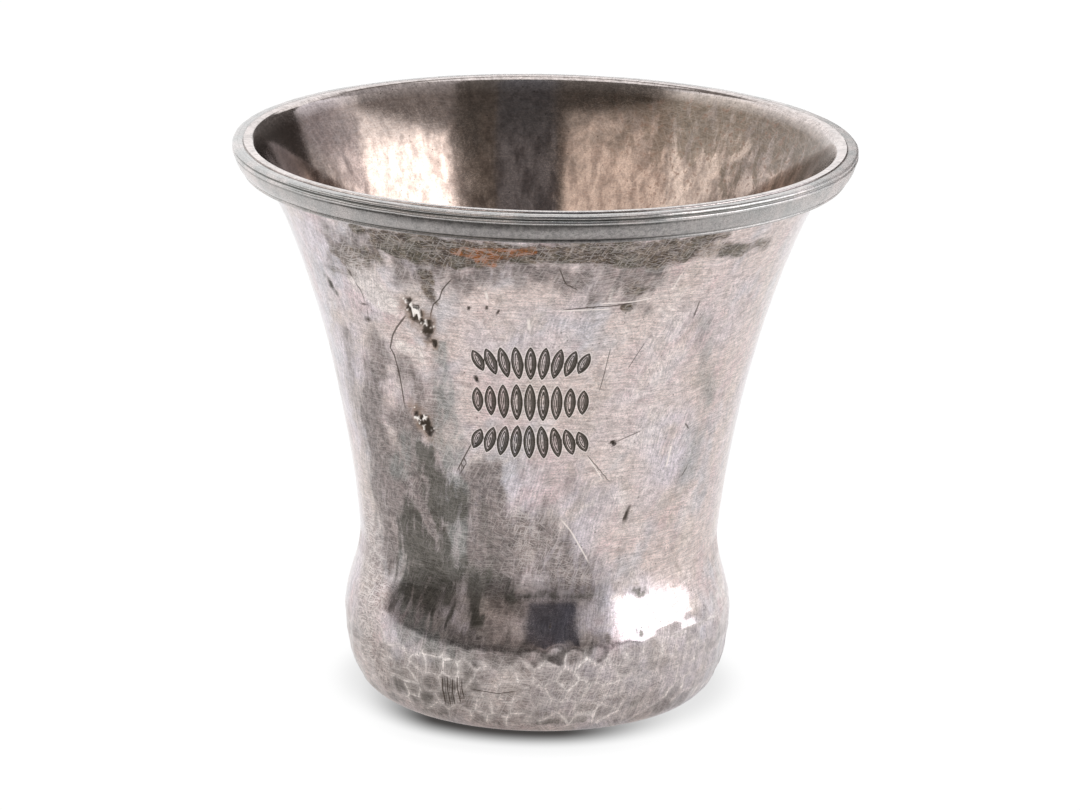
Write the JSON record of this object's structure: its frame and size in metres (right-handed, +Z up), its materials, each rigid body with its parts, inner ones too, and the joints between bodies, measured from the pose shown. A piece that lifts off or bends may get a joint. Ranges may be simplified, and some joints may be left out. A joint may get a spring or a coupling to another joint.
{
  "type": "beaker",
  "caption": "Tarnished silver beaker: hammered bulbous foot, soft waist, wide flared mouth with a moulded rim, and rows of engraved strokes on the front.",
  "frame": {"origin": "centre of the underside, on the plane of the flat ring that the beaker stands on", "axes": "+Z up along the beaker's axis, towards the mouth; -Y towards the engraved side"},
  "size_m": [0.0882, 0.0882, 0.08],
  "materials": {
    "tarnished_silver": "worn polished silver with brown, violet and grey-green tarnish, fine scratches and pits",
    "rim_silver": "polished silver, rubbed cleaner than the body, with dark tarnish in its grooves"
  },
  "bodies": {
    "root": {"beaker_body": "tarnished_silver", "rim_moulding": "rim_silver"}
  },
  "joints": []
}
